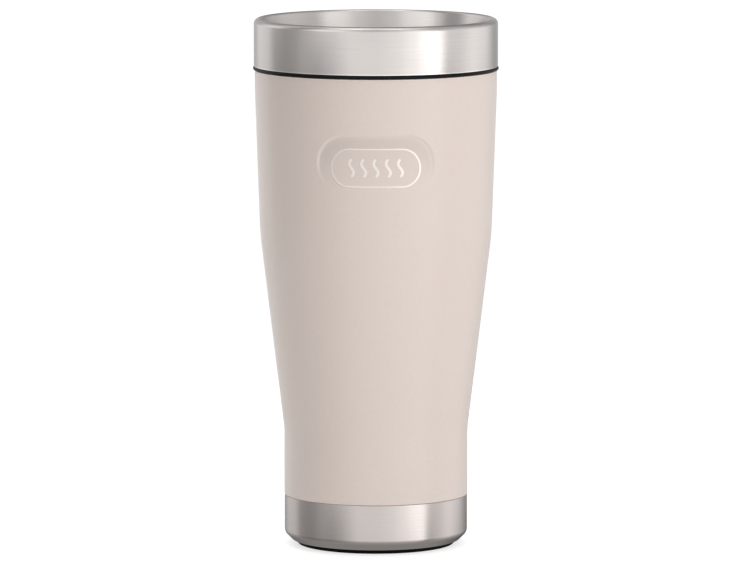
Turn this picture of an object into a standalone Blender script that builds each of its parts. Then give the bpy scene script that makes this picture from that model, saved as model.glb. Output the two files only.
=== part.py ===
"""Insulated travel mug with a screw lid and a slide lock.

Metres, +Z up. The origin is the centre of the foot's underside, and the badge side faces -Y.
A double-walled steel body stands on a rubber foot. A plastic lid screws into its mouth on a
three-start thread, carries a steel collar, and has a slider that covers the drink port.
"""

import math

import bmesh
import bpy

# ---------------------------------------------------------------- driving dimensions
SEGMENTS = 48  # facets round every turned piece
ARC_STEPS = 2  # straight pieces in each rounded corner
SHARP_ANGLE = math.radians(35)  # faces that meet at more than this keep a sharp edge
MERGE_DISTANCE = 1e-7
SHEET = 0.0005  # steel sheet thickness
GAP = 0.0003  # left between faces that touch
SLIDING_GAP = 0.0004  # left between faces that slide past each other
OVERLAP = 0.0004  # how far shapes that are joined run into each other
INSET = 0.0001  # keeps joined shapes from sharing a face

# body, from the foot up
PAD_RADIUS = 0.0269
PAD_TOP_RADIUS = 0.0277
PAD_ROUND = 0.0005
PAD_HEIGHT = 0.0012
PAD_GROOVE_RADIUS = 0.0130
PAD_GROOVE_WIDTH = 0.0012
PAD_GROOVE_DEPTH = 0.0005
BAND_FOOT = PAD_HEIGHT + GAP
BAND_FOOT_RADIUS = 0.0289
BAND_FOOT_ROUND = 0.0006
BAND_CHAMFER_TOP = 0.0041
BAND_CHAMFER_ROUND = 0.0026
BAND_RADIUS = 0.0316
BAND_TOP = 0.0171
COAT_LOW_RADIUS = 0.0317
TAPER_BOTTOM = 0.0402
TAPER_BOTTOM_BLEND = 0.025
TAPER_TOP = 0.1077
TAPER_TOP_BLEND = 0.090
TAPER_TOP_RADIUS = 0.0399
SHOULDER = 0.1570
SHOULDER_BLEND = 0.080
SHOULDER_RADIUS = 0.04165
MOUTH_TOP = 0.1642
MOUTH_ROUND = 0.0006
SLEEVE_RADIUS = 0.0308  # the outer wall's necked end, inside the steel band
SLEEVE_BOTTOM = 0.0075

# vacuum gap and liner
WALL_SPACE = 0.0037  # outer surface to inner surface, both sheets included
LINER_FLOOR = 0.0145
LINER_FLOOR_FILLET = 0.0060
NECK_RADIUS = 0.0373
NECK_TOP = 0.1489
MOUTH_RADIUS = 0.0392
MOUTH_BOTTOM = 0.1505
MOUTH_LIP_RADIUS = MOUTH_RADIUS + SHEET + GAP  # the outer wall's lip, turned in round the liner
BOTTOM_PLATE_TOP = 0.0100
PORT_DIMPLE_RADIUS = 0.0050
PORT_DIMPLE_RISE = 0.0012
PORT_HOLE_RADIUS = 0.0015
PLUG_RADIUS = 0.0040
PLUG_THICKNESS = 0.0010
GETTER_RADIUS = 0.0040
GETTER_THICKNESS = 0.0012
GETTER_OFFSET = 0.0160
FOIL = 0.00015
FOIL_BOTTOM = 0.0240
FOIL_TOP = 0.1380

# thread: three starts, right-handed
STARTS = 3
LEAD = 0.0108
THREAD_ARC = math.radians(130)
THREAD_FADE = math.radians(16)
THREAD_STEP = 2 * math.pi / SEGMENTS
THREAD_ROOT_HALF = 0.0009
THREAD_CREST_HALF = 0.0004
THREAD_END_SHARE = 0.1  # of the full height, where a ridge starts and ends
LINER_THREAD_START = 0.1562
LINER_THREAD_CREST = 0.0383
LID_THREAD_CREST = 0.0388
LID_THREAD_START = LINER_THREAD_START - LEAD / STARTS / 2

# lid body and collar
SKIRT_RADIUS = 0.0376
SKIRT_WALL = 0.0018
SKIRT_BOTTOM = 0.1475
SKIRT_FOOT_RADIUS = 0.0369
SEAL_GROOVE_RADIUS = 0.0364
SEAL_GROOVE_BOTTOM = 0.1491
SEAL_GROOVE_TOP = 0.1521
SEAL_RADIUS = 0.0380
SEAL_CHAMFER = 0.0006
FLANGE_BOTTOM = MOUTH_TOP + GAP
FLANGE_TOP = 0.1654
FLANGE_RADIUS = 0.04225
FLANGE_ROUND = 0.0004
COLLAR_RADIUS = 0.0420
COLLAR_BOTTOM = FLANGE_TOP + GAP
COLLAR_ROUND = 0.0014
RIM_TOP = 0.1820
RIM_INNER_RADIUS = 0.0399
RIM_INNER_ROUND = 0.0006
COLLAR_FOOT_RADIUS = 0.0384
UPSTAND_TOP = 0.1803
UPSTAND_OUTER = COLLAR_RADIUS - SHEET - GAP
UPSTAND_INNER = 0.0384

# deck, drink port and vent
DECK_TOP = 0.1730
DECK_THICKNESS = 0.0020
DECK_RADIUS = UPSTAND_INNER - SLIDING_GAP
DECK_BOTTOM = DECK_TOP - DECK_THICKNESS
PORT_Y = -0.0275
PORT_HALF_WIDTH = 0.0100
PORT_HALF_DEPTH = 0.0040
PORT_WALL = 0.0015
VENT_Y = -0.0205
VENT_RADIUS = 0.0010
VENT_WALL = 0.0015
FOAM_GAP = 0.0005

# slider and its rails
SLIDER_TRAVEL = 0.0160
SLIDER_FRONT_RADIUS = 0.0353
SLIDER_REAR = -0.0080
SLIDER_HALF_WIDTH = 0.0122
RUNNER_HALF_WIDTH = 0.0135
RUNNER_BOTTOM = DECK_TOP + SLIDING_GAP
RUNNER_THICKNESS = 0.0014
RUNNER_TOP = RUNNER_BOTTOM + RUNNER_THICKNESS
SLIDER_RISE = 0.0012
SLIDER_TOP = RUNNER_TOP + SLIDER_RISE
SLIDER_CORNER = 0.0025
TAB_FRONT = -0.0200
TAB_REAR = -0.0105
TAB_SLOPE = 0.0014
TAB_ROUND = 0.0005
TAB_HALF_WIDTH = 0.0088
TAB_TOP = 0.1772
GRIP_INSET = 0.0008
GRIP_THICKNESS = 0.0009
GRIP_CORNER = 0.0020
STOP_DEPTH = 0.0018
RAIL_FRONT = -0.0290
RAIL_REAR = SLIDER_REAR + SLIDER_TRAVEL + GAP + STOP_DEPTH + 2 * INSET
RAIL_WALL = 0.0015
RAIL_INNER = RUNNER_HALF_WIDTH + SLIDING_GAP
RAIL_OUTER = RAIL_INNER + RAIL_WALL
RAIL_LIP_INNER = SLIDER_HALF_WIDTH + SLIDING_GAP
RAIL_LIP_BOTTOM = RUNNER_TOP + GAP
RAIL_LIP_THICKNESS = 0.0010
RAIL_TOP = RAIL_LIP_BOTTOM + RAIL_LIP_THICKNESS
RAIL_ROUND = 0.0004
SEAL_PAD_FRONT = -0.0324
SEAL_PAD_REAR = -0.0182
SEAL_PAD_HALF_WIDTH = 0.0112
SEAL_PAD_CORNER = 0.0040
SEAL_PAD_THICKNESS = 0.0007
SEAL_PAD_BOTTOM = DECK_TOP + GAP
SEAL_PAD_TOP = SEAL_PAD_BOTTOM + SEAL_PAD_THICKNESS


# ---------------------------------------------------------------- shape helpers
def clear_scene():
    for obj in list(bpy.data.objects):
        bpy.data.objects.remove(obj)


def material(name, colour, roughness, metallic=0.0):
    made = bpy.data.materials.new(name)
    made.use_nodes = True
    shader = made.node_tree.nodes["Principled BSDF"]
    shader.inputs["Base Color"].default_value = (*colour, 1.0)
    shader.inputs["Roughness"].default_value = roughness
    shader.inputs["Metallic"].default_value = metallic
    return made


def rounded(corners, closed):
    """Points of an outline. A corner is (a, b) or (a, b, radius), and a radius makes an arc there."""
    count = len(corners)
    points = []
    for i, corner in enumerate(corners):
        here = corner[:2]
        radius = corner[2] if len(corner) > 2 else 0.0
        if radius == 0.0 or (not closed and i in (0, count - 1)):
            points.append(here)
            continue
        before = corners[i - 1][:2]
        after = corners[(i + 1) % count][:2]
        to_before = math.atan2(before[1] - here[1], before[0] - here[0])
        to_after = math.atan2(after[1] - here[1], after[0] - here[0])
        turn = (to_after - to_before + math.pi) % (2 * math.pi) - math.pi
        half = abs(turn) / 2
        middle = to_before + turn / 2
        reach = radius / math.sin(half)
        centre = (here[0] + reach * math.cos(middle), here[1] + reach * math.sin(middle))
        sweep = math.pi - 2 * half
        side = math.copysign(1.0, turn)
        for step in range(ARC_STEPS + 1):
            angle = middle + math.pi + side * sweep * (0.5 - step / ARC_STEPS)
            points.append((centre[0] + radius * math.cos(angle), centre[1] + radius * math.sin(angle)))
    return points


def finish(name, bm, look):
    bmesh.ops.recalc_face_normals(bm, faces=bm.faces)
    mesh = bpy.data.meshes.new(name)
    bm.to_mesh(mesh)
    bm.free()
    mesh.shade_smooth()
    mesh.set_sharp_from_angle(angle=SHARP_ANGLE)
    obj = bpy.data.objects.new(name, mesh)
    bpy.context.scene.collection.objects.link(obj)
    if look is not None:
        mesh.materials.append(look)
    return obj


def turned(name, corners, look=None, closed=True):
    """A solid of revolution about Z. An open profile starts and ends on the axis."""
    bm = bmesh.new()
    points = [bm.verts.new((r, 0.0, z)) for r, z in rounded(corners, closed)]
    ends = points[1:] + points[:1] if closed else points[1:]
    edges = [bm.edges.new(pair) for pair in zip(points, ends)]
    bmesh.ops.spin(
        bm,
        geom=points + edges,
        cent=(0, 0, 0),
        axis=(0, 0, 1),
        angle=2 * math.pi,
        steps=SEGMENTS,
        use_merge=True,
    )
    bmesh.ops.remove_doubles(bm, verts=bm.verts, dist=MERGE_DISTANCE)
    return finish(name, bm, look)


def prism(name, outline, low, high, look=None):
    """An outline in X and Y, raised from low to high."""
    bm = bmesh.new()
    face = bm.faces.new([bm.verts.new((x, y, low)) for x, y in outline])
    raised = bmesh.ops.extrude_face_region(bm, geom=[face])["geom"]
    tops = [item for item in raised if isinstance(item, bmesh.types.BMVert)]
    bmesh.ops.translate(bm, verts=tops, vec=(0, 0, high - low))
    return finish(name, bm, look)


def box_outline(x0, x1, y0, y1, radius=0.0):
    corners = [(x0, y0, radius), (x1, y0, radius), (x1, y1, radius), (x0, y1, radius)]
    return rounded(corners, closed=True)


def stadium(half_width, radius, centre_y):
    """A slot outline with round ends, long in X."""
    points = []
    steps = 4 * ARC_STEPS
    for end in (1, -1):
        for step in range(steps + 1):
            angle = math.pi * (step / steps - 0.5)
            x = end * (half_width - radius + radius * math.cos(angle))
            y = centre_y + end * radius * math.sin(angle)
            points.append((x, y))
    return points


def circle(radius, x, y, steps=24):
    angles = [2 * math.pi * step / steps for step in range(steps)]
    return [(x + radius * math.cos(a), y + radius * math.sin(a)) for a in angles]


def helper(obj):
    obj.hide_render = True
    obj.display_type = "WIRE"
    return obj


def boolean(obj, tool, operation):
    modifier = obj.modifiers.new(f"{operation.lower()}_{tool.name}", "BOOLEAN")
    modifier.operation = operation
    modifier.object = helper(tool)
    modifier.solver = "EXACT"


def thread_ridges(name, start_height, root_radius, crest_radius):
    """Ridges of a multi-start thread, each a trapezoid swept along a helix and faded out at its ends."""
    bm = bmesh.new()
    steps = round(THREAD_ARC / THREAD_STEP)
    inward = math.copysign(1.0, root_radius - crest_radius)
    buried = root_radius + inward * OVERLAP / 2
    for start in range(STARTS):
        rings = []
        for step in range(steps + 1):
            along = THREAD_ARC * step / steps
            angle = 2 * math.pi * start / STARTS + along
            height = start_height + LEAD * along / (2 * math.pi)
            from_end = min(along, THREAD_ARC - along)
            rise = min(1.0, from_end / THREAD_FADE + THREAD_END_SHARE)
            crest = root_radius + rise * (crest_radius - root_radius)
            section = [
                (buried, -THREAD_ROOT_HALF),
                (crest, -THREAD_CREST_HALF),
                (crest, THREAD_CREST_HALF),
                (buried, THREAD_ROOT_HALF),
            ]
            rings.append([
                bm.verts.new((r * math.cos(angle), r * math.sin(angle), height + dz)) for r, dz in section
            ])
        for near, far in zip(rings, rings[1:]):
            for i in range(4):
                j = (i + 1) % 4
                bm.faces.new((near[i], near[j], far[j], far[i]))
        bm.faces.new(rings[0])
        bm.faces.new(reversed(rings[-1]))
    return finish(name, bm, None)


def body_radius(height):
    """Radius of the coated wall's outer surface."""
    stations = [
        (0.0, COAT_LOW_RADIUS),
        (TAPER_BOTTOM, COAT_LOW_RADIUS),
        (TAPER_TOP, TAPER_TOP_RADIUS),
        (SHOULDER, SHOULDER_RADIUS),
        (MOUTH_TOP, SHOULDER_RADIUS),
    ]
    for (z0, r0), (z1, r1) in zip(stations, stations[1:]):
        if height <= z1:
            return r0 + (r1 - r0) * (height - z0) / (z1 - z0)
    return SHOULDER_RADIUS


# ---------------------------------------------------------------- body
def build_outer_shell(look):
    """The coated outer wall, necked at its foot to slip inside the steel band."""
    step_height = BAND_TOP + GAP
    corners = [
        (SLEEVE_RADIUS, SLEEVE_BOTTOM),
        (SLEEVE_RADIUS, step_height),
        (COAT_LOW_RADIUS, step_height),
        (COAT_LOW_RADIUS, TAPER_BOTTOM, TAPER_BOTTOM_BLEND),
        (TAPER_TOP_RADIUS, TAPER_TOP, TAPER_TOP_BLEND),
        (SHOULDER_RADIUS, SHOULDER, SHOULDER_BLEND),
        (SHOULDER_RADIUS, MOUTH_TOP, MOUTH_ROUND),
        (MOUTH_LIP_RADIUS, MOUTH_TOP),
        (MOUTH_LIP_RADIUS, MOUTH_TOP - SHEET),
        (SHOULDER_RADIUS - SHEET, MOUTH_TOP - SHEET),
        (SHOULDER_RADIUS - SHEET, SHOULDER),
        (TAPER_TOP_RADIUS - SHEET, TAPER_TOP),
        (COAT_LOW_RADIUS - SHEET, TAPER_BOTTOM),
        (COAT_LOW_RADIUS - SHEET, step_height + SHEET),
        (SLEEVE_RADIUS - SHEET, step_height + SHEET),
        (SLEEVE_RADIUS - SHEET, SLEEVE_BOTTOM),
    ]
    turned("outer_shell", corners, look)


def build_base_band(look):
    """The bare steel cup round the foot of the body."""
    corners = [
        (0.0, BAND_FOOT),
        (BAND_FOOT_RADIUS, BAND_FOOT, BAND_FOOT_ROUND),
        (BAND_RADIUS, BAND_CHAMFER_TOP, BAND_CHAMFER_ROUND),
        (BAND_RADIUS, BAND_TOP),
        (BAND_RADIUS - SHEET, BAND_TOP),
        (BAND_RADIUS - SHEET, BAND_CHAMFER_TOP),
        (BAND_FOOT_RADIUS - SHEET / 2, BAND_FOOT + SHEET),
        (0.0, BAND_FOOT + SHEET),
    ]
    turned("base_band", corners, look, closed=False)


def build_foot_pad(look):
    groove_outer = PAD_GROOVE_RADIUS + PAD_GROOVE_WIDTH
    corners = [
        (0.0, 0.0),
        (PAD_GROOVE_RADIUS, 0.0),
        (PAD_GROOVE_RADIUS, PAD_GROOVE_DEPTH),
        (groove_outer, PAD_GROOVE_DEPTH),
        (groove_outer, 0.0),
        (PAD_RADIUS, 0.0, PAD_ROUND),
        (PAD_TOP_RADIUS, PAD_HEIGHT),
        (0.0, PAD_HEIGHT),
    ]
    turned("foot_pad", corners, look, closed=False)


def build_liner(look):
    """The inner flask, with the lid's thread rolled into its mouth."""
    wall = [(body_radius(z) - WALL_SPACE, z) for z in (TAPER_BOTTOM, TAPER_TOP)]
    inner = [
        (0.0, LINER_FLOOR),
        (wall[0][0], LINER_FLOOR, LINER_FLOOR_FILLET),
        *wall,
        (NECK_RADIUS, NECK_TOP),
        (MOUTH_RADIUS, MOUTH_BOTTOM),
        (MOUTH_RADIUS, MOUTH_TOP),
    ]
    outer = [
        (MOUTH_RADIUS + SHEET, MOUTH_TOP),
        (MOUTH_RADIUS + SHEET, MOUTH_BOTTOM - SHEET / 2),
        (NECK_RADIUS + SHEET, NECK_TOP - SHEET / 2),
        *[(r + SHEET, z) for r, z in reversed(wall)],
        (wall[0][0] + SHEET, LINER_FLOOR - SHEET, LINER_FLOOR_FILLET + SHEET),
        (0.0, LINER_FLOOR - SHEET),
    ]
    liner = turned("inner_liner", inner + outer, look, closed=False)
    ridges = thread_ridges("liner_thread", LINER_THREAD_START, MOUTH_RADIUS, LINER_THREAD_CREST)
    boolean(liner, ridges, "UNION")


def build_vacuum_parts(steel, copper, glass):
    """The dished plate that closes the vacuum space, its sealing plug, the getter and the foil."""
    plate_radius = SLEEVE_RADIUS - SHEET - GAP
    plate_under = BOTTOM_PLATE_TOP - SHEET
    dimple_under = plate_under + PORT_DIMPLE_RISE
    corners = [
        (PORT_HOLE_RADIUS, dimple_under),
        (PORT_DIMPLE_RADIUS, dimple_under),
        (PORT_DIMPLE_RADIUS, plate_under),
        (plate_radius - SHEET, plate_under),
        (plate_radius - SHEET, SLEEVE_BOTTOM),
        (plate_radius, SLEEVE_BOTTOM),
        (plate_radius, BOTTOM_PLATE_TOP),
        (PORT_DIMPLE_RADIUS + SHEET, BOTTOM_PLATE_TOP),
        (PORT_DIMPLE_RADIUS + SHEET, dimple_under + SHEET),
        (PORT_HOLE_RADIUS, dimple_under + SHEET),
    ]
    turned("bottom_plate", corners, steel)

    plug_top = dimple_under - GAP
    corners = [
        (0.0, plug_top - PLUG_THICKNESS),
        (PLUG_RADIUS, plug_top - PLUG_THICKNESS),
        (PLUG_RADIUS, plug_top),
        (0.0, plug_top),
    ]
    turned("vacuum_plug", corners, glass, closed=False)

    getter_bottom = BOTTOM_PLATE_TOP + GAP
    outline = circle(GETTER_RADIUS, GETTER_OFFSET, 0.0)
    prism("getter", outline, getter_bottom, getter_bottom + GETTER_THICKNESS, steel)

    stations = (FOIL_BOTTOM, TAPER_BOTTOM, TAPER_TOP, FOIL_TOP)
    inside = [(body_radius(z) - WALL_SPACE + SHEET + GAP, z) for z in stations]
    outside = [(r + FOIL, z) for r, z in reversed(inside)]
    turned("copper_foil", inside + outside, copper)


# ---------------------------------------------------------------- lid
def build_lid_body(look):
    """Skirt, flange, upstand and the column that carries the drink port and the vent."""
    skirt_inner = SKIRT_RADIUS - SKIRT_WALL
    shoulder = DECK_BOTTOM - GAP
    corners = [
        (0.0, SKIRT_BOTTOM),
        (SKIRT_FOOT_RADIUS, SKIRT_BOTTOM),
        (SKIRT_FOOT_RADIUS, SEAL_GROOVE_BOTTOM),
        (SEAL_GROOVE_RADIUS, SEAL_GROOVE_BOTTOM),
        (SEAL_GROOVE_RADIUS, SEAL_GROOVE_TOP),
        (SKIRT_RADIUS, SEAL_GROOVE_TOP),
        (SKIRT_RADIUS, FLANGE_BOTTOM),
        (FLANGE_RADIUS, FLANGE_BOTTOM, FLANGE_ROUND),
        (FLANGE_RADIUS, FLANGE_TOP, FLANGE_ROUND),
        (UPSTAND_OUTER, FLANGE_TOP),
        (UPSTAND_OUTER, UPSTAND_TOP),
        (RIM_INNER_RADIUS + SHEET + GAP, UPSTAND_TOP),
        (COLLAR_FOOT_RADIUS + SHEET + GAP, DECK_TOP),
        (UPSTAND_INNER, DECK_TOP),
        (UPSTAND_INNER, shoulder),
        (skirt_inner, shoulder),
        (skirt_inner, SKIRT_BOTTOM + SKIRT_WALL),
        (0.0, SKIRT_BOTTOM + SKIRT_WALL),
    ]
    lid = turned("lid_body", corners, look, closed=False)
    ridges = thread_ridges("lid_thread", LID_THREAD_START, SKIRT_RADIUS, LID_THREAD_CREST)
    boolean(lid, ridges, "UNION")

    column_foot = SKIRT_BOTTOM + SKIRT_WALL - OVERLAP
    outline = stadium(PORT_HALF_WIDTH + PORT_WALL, PORT_HALF_DEPTH + PORT_WALL, PORT_Y)
    boolean(lid, prism("port_column", outline, column_foot, shoulder), "UNION")
    outline = circle(VENT_RADIUS + VENT_WALL, 0.0, VENT_Y)
    boolean(lid, prism("vent_column", outline, column_foot, shoulder - INSET), "UNION")
    for cut in port_cutters("lid", SKIRT_BOTTOM - OVERLAP, shoulder + OVERLAP):
        boolean(lid, cut, "DIFFERENCE")


def port_cutters(owner, low, high):
    port = prism(f"{owner}_port_cut", stadium(PORT_HALF_WIDTH, PORT_HALF_DEPTH, PORT_Y), low, high)
    vent = prism(f"{owner}_vent_cut", circle(VENT_RADIUS, 0.0, VENT_Y, 12), low, high)
    return port, vent


def build_lid_seal(look):
    inner = SEAL_GROOVE_RADIUS + GAP
    low = SEAL_GROOVE_BOTTOM + GAP
    high = SEAL_GROOVE_TOP - GAP
    corners = [
        (inner, low),
        (SEAL_RADIUS - SEAL_CHAMFER, low),
        (SEAL_RADIUS, low + SEAL_CHAMFER),
        (SEAL_RADIUS, high),
        (inner, high),
    ]
    turned("lid_seal", corners, look)


def build_collar(look):
    """Steel sleeve folded over the lid's rim: outer wall, lip and inner wall."""
    foot = DECK_TOP + GAP
    corners = [
        (COLLAR_RADIUS, COLLAR_BOTTOM),
        (COLLAR_RADIUS, RIM_TOP, COLLAR_ROUND),
        (RIM_INNER_RADIUS, RIM_TOP, RIM_INNER_ROUND),
        (COLLAR_FOOT_RADIUS, foot),
        (COLLAR_FOOT_RADIUS + SHEET, foot),
        (RIM_INNER_RADIUS + SHEET, RIM_TOP - RIM_INNER_ROUND),
        (RIM_INNER_RADIUS + SHEET, RIM_TOP - SHEET),
        (COLLAR_RADIUS - COLLAR_ROUND, RIM_TOP - SHEET),
        (COLLAR_RADIUS - SHEET, RIM_TOP - COLLAR_ROUND),
        (COLLAR_RADIUS - SHEET, COLLAR_BOTTOM),
    ]
    turned("lid_collar", corners, look)


def build_insulation(look):
    """Foam puck inside the hollow lid, cut clear of the port column."""
    radius = SKIRT_RADIUS - SKIRT_WALL - FOAM_GAP
    low = SKIRT_BOTTOM + SKIRT_WALL + GAP
    high = DECK_BOTTOM - 2 * GAP
    corners = [(0.0, low), (radius, low), (radius, high), (0.0, high)]
    puck = turned("lid_insulation", corners, look, closed=False)
    room = PORT_WALL + FOAM_GAP
    outline = stadium(PORT_HALF_WIDTH + room, PORT_HALF_DEPTH + room, PORT_Y)
    boolean(puck, prism("port_room", outline, low - OVERLAP, high + OVERLAP), "DIFFERENCE")
    outline = circle(VENT_RADIUS + VENT_WALL + FOAM_GAP, 0.0, VENT_Y)
    boolean(puck, prism("vent_room", outline, low - OVERLAP, high + OVERLAP), "DIFFERENCE")


def build_deck(look):
    """The plate inside the collar, with the drink port, the vent and the slider's rails."""
    corners = [
        (0.0, DECK_BOTTOM),
        (DECK_RADIUS, DECK_BOTTOM),
        (DECK_RADIUS, DECK_TOP),
        (0.0, DECK_TOP),
    ]
    deck = turned("lid_deck", corners, look, closed=False)
    for side, name in ((1, "right"), (-1, "left")):
        corners = [
            (RAIL_INNER, DECK_TOP - OVERLAP),
            (RAIL_OUTER, DECK_TOP - OVERLAP),
            (RAIL_OUTER, RAIL_TOP, RAIL_ROUND),
            (RAIL_LIP_INNER, RAIL_TOP, RAIL_ROUND),
            (RAIL_LIP_INNER, RAIL_LIP_BOTTOM),
            (RAIL_INNER, RAIL_LIP_BOTTOM),
        ]
        boolean(deck, rail(f"rail_{name}", corners, side), "UNION")
    reach = RAIL_OUTER - INSET
    stop_rear = RAIL_REAR - INSET
    outline = box_outline(-reach, reach, stop_rear - STOP_DEPTH, stop_rear)
    boolean(deck, prism("rail_stop", outline, DECK_TOP - OVERLAP, RUNNER_TOP), "UNION")
    for cut in port_cutters("deck", DECK_BOTTOM - OVERLAP, DECK_TOP + OVERLAP):
        boolean(deck, cut, "DIFFERENCE")


def rail(name, corners, side):
    """An upside-down L section in X and Z, drawn out along Y."""
    bm = bmesh.new()
    section = [bm.verts.new((side * x, RAIL_FRONT, z)) for x, z in rounded(corners, closed=True)]
    raised = bmesh.ops.extrude_face_region(bm, geom=[bm.faces.new(section)])["geom"]
    ends = [item for item in raised if isinstance(item, bmesh.types.BMVert)]
    bmesh.ops.translate(bm, verts=ends, vec=(0, RAIL_REAR - RAIL_FRONT, 0))
    return finish(name, bm, None)


# ---------------------------------------------------------------- slider
def slider_outline(half_width):
    """Straight sides, a square rear with round corners, and a front concentric with the collar."""
    spread = math.asin(half_width / SLIDER_FRONT_RADIUS)
    steps = 4 * ARC_STEPS
    points = []
    for step in range(steps + 1):
        angle = spread * (2 * step / steps - 1)
        points.append((SLIDER_FRONT_RADIUS * math.sin(angle), -SLIDER_FRONT_RADIUS * math.cos(angle)))
    front = points[0][1]
    rear = box_outline(-half_width, half_width, front, SLIDER_REAR, SLIDER_CORNER)
    return points + [point for point in rear if point[1] > front + 2 * SLIDER_CORNER]


def build_slider(plastic, rubber, silicone):
    """Runner plate under the rails, raised top with a thumb tab, its rubber grip and its sealing pad."""
    outline = slider_outline(RUNNER_HALF_WIDTH)
    slider = prism("slider", outline, RUNNER_BOTTOM, RUNNER_TOP, plastic)
    top = prism("slider_top", slider_outline(SLIDER_HALF_WIDTH), RUNNER_TOP - OVERLAP, SLIDER_TOP)
    boolean(slider, top, "UNION")
    boolean(slider, tab("slider_tab"), "UNION")
    pocket = box_outline(
        -SEAL_PAD_HALF_WIDTH - GAP,
        SEAL_PAD_HALF_WIDTH + GAP,
        SEAL_PAD_FRONT - GAP,
        SEAL_PAD_REAR + GAP,
        SEAL_PAD_CORNER,
    )
    cut = prism("seal_pocket", pocket, RUNNER_BOTTOM - OVERLAP, SEAL_PAD_TOP + GAP)
    boolean(slider, cut, "DIFFERENCE")

    outline = box_outline(
        -SEAL_PAD_HALF_WIDTH, SEAL_PAD_HALF_WIDTH, SEAL_PAD_FRONT, SEAL_PAD_REAR, SEAL_PAD_CORNER
    )
    prism("slider_seal", outline, SEAL_PAD_BOTTOM, SEAL_PAD_TOP, silicone)

    outline = box_outline(
        -TAB_HALF_WIDTH + GRIP_INSET,
        TAB_HALF_WIDTH - GRIP_INSET,
        TAB_FRONT + 2 * GRIP_INSET,
        TAB_REAR - 2 * GRIP_INSET,
        GRIP_CORNER,
    )
    grip_bottom = TAB_TOP + GAP
    prism("slider_grip", outline, grip_bottom, grip_bottom + GRIP_THICKNESS, rubber)


def tab(name):
    """Thumb tab: a block whose front and rear slope up to its top."""
    corners = [
        (TAB_FRONT - TAB_SLOPE, SLIDER_TOP - OVERLAP),
        (TAB_REAR + TAB_SLOPE, SLIDER_TOP - OVERLAP),
        (TAB_REAR, TAB_TOP, TAB_ROUND),
        (TAB_FRONT, TAB_TOP, TAB_ROUND),
    ]
    bm = bmesh.new()
    section = [bm.verts.new((-TAB_HALF_WIDTH, y, z)) for y, z in rounded(corners, closed=True)]
    raised = bmesh.ops.extrude_face_region(bm, geom=[bm.faces.new(section)])["geom"]
    ends = [item for item in raised if isinstance(item, bmesh.types.BMVert)]
    bmesh.ops.translate(bm, verts=ends, vec=(2 * TAB_HALF_WIDTH, 0, 0))
    return finish(name, bm, None)


def main():
    clear_scene()
    coat = material("coat", (0.67, 0.58, 0.52), 0.5)
    brushed = material("brushed_steel", (0.62, 0.60, 0.58), 0.28, 1.0)
    liner = material("liner_steel", (0.66, 0.65, 0.63), 0.22, 1.0)
    copper = material("copper", (0.80, 0.45, 0.33), 0.30, 1.0)
    glass = material("solder_glass", (0.10, 0.12, 0.12), 0.20)
    plastic = material("black_plastic", (0.02, 0.02, 0.02), 0.40)
    rubber = material("rubber", (0.03, 0.03, 0.03), 0.80)
    silicone = material("silicone", (0.55, 0.55, 0.54), 0.60)
    foam = material("foam", (0.85, 0.84, 0.80), 0.90)

    build_outer_shell(coat)
    build_base_band(brushed)
    build_foot_pad(rubber)
    build_liner(liner)
    build_vacuum_parts(liner, copper, glass)
    build_lid_body(plastic)
    build_lid_seal(silicone)
    build_collar(brushed)
    build_insulation(foam)
    build_deck(plastic)
    build_slider(plastic, rubber, silicone)


main()
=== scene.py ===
"""Looks of the insulated travel mug: fine turned surfaces, materials and a small white studio.

Metres, +Z up, badge side towards -Y. Angles round the mug are measured from -Y towards +X.
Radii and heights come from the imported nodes' boxes where a box can give them.
"""

import math

import bmesh
import bpy
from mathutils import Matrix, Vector


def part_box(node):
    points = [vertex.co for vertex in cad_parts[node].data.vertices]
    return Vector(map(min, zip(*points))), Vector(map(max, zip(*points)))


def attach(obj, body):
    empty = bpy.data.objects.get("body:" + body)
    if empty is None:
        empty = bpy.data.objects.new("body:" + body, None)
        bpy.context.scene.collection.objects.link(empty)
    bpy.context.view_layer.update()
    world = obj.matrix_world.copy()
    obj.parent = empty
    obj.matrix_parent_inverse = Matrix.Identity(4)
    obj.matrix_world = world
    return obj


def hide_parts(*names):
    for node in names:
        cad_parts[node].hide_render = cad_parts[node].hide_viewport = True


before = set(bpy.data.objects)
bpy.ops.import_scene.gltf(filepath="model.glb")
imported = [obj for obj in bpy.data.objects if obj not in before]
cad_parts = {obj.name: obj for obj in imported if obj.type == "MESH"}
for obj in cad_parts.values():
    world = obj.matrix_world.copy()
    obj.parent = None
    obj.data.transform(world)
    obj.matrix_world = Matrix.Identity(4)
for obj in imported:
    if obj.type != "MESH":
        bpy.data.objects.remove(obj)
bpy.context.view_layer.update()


def reach(node):
    """Largest radius of a round node, from its box."""
    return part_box(node)[1].x


def bottom(node):
    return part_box(node)[0].z


def top(node):
    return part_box(node)[1].z


# ---------------------------------------------------------------- driving dimensions
TAU = 2 * math.pi
TURN_STEPS = 192  # columns round a turned piece
ARC_STEP = math.radians(9)  # widest step round a rounded corner
SHARP_ANGLE = math.radians(32)  # from here on, an edge between faces is shaded sharp
BEVEL_ANGLE = math.radians(40)  # from here on, an edge between faces is bevelled
SHEET = 0.0005  # steel sheet thickness
GAP = 0.0003  # left between faces that touch
SEAM = 0.00006  # left where a joint shows as a fine line
TRIM = 0.0001  # taken off each edge of the black ring

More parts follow.
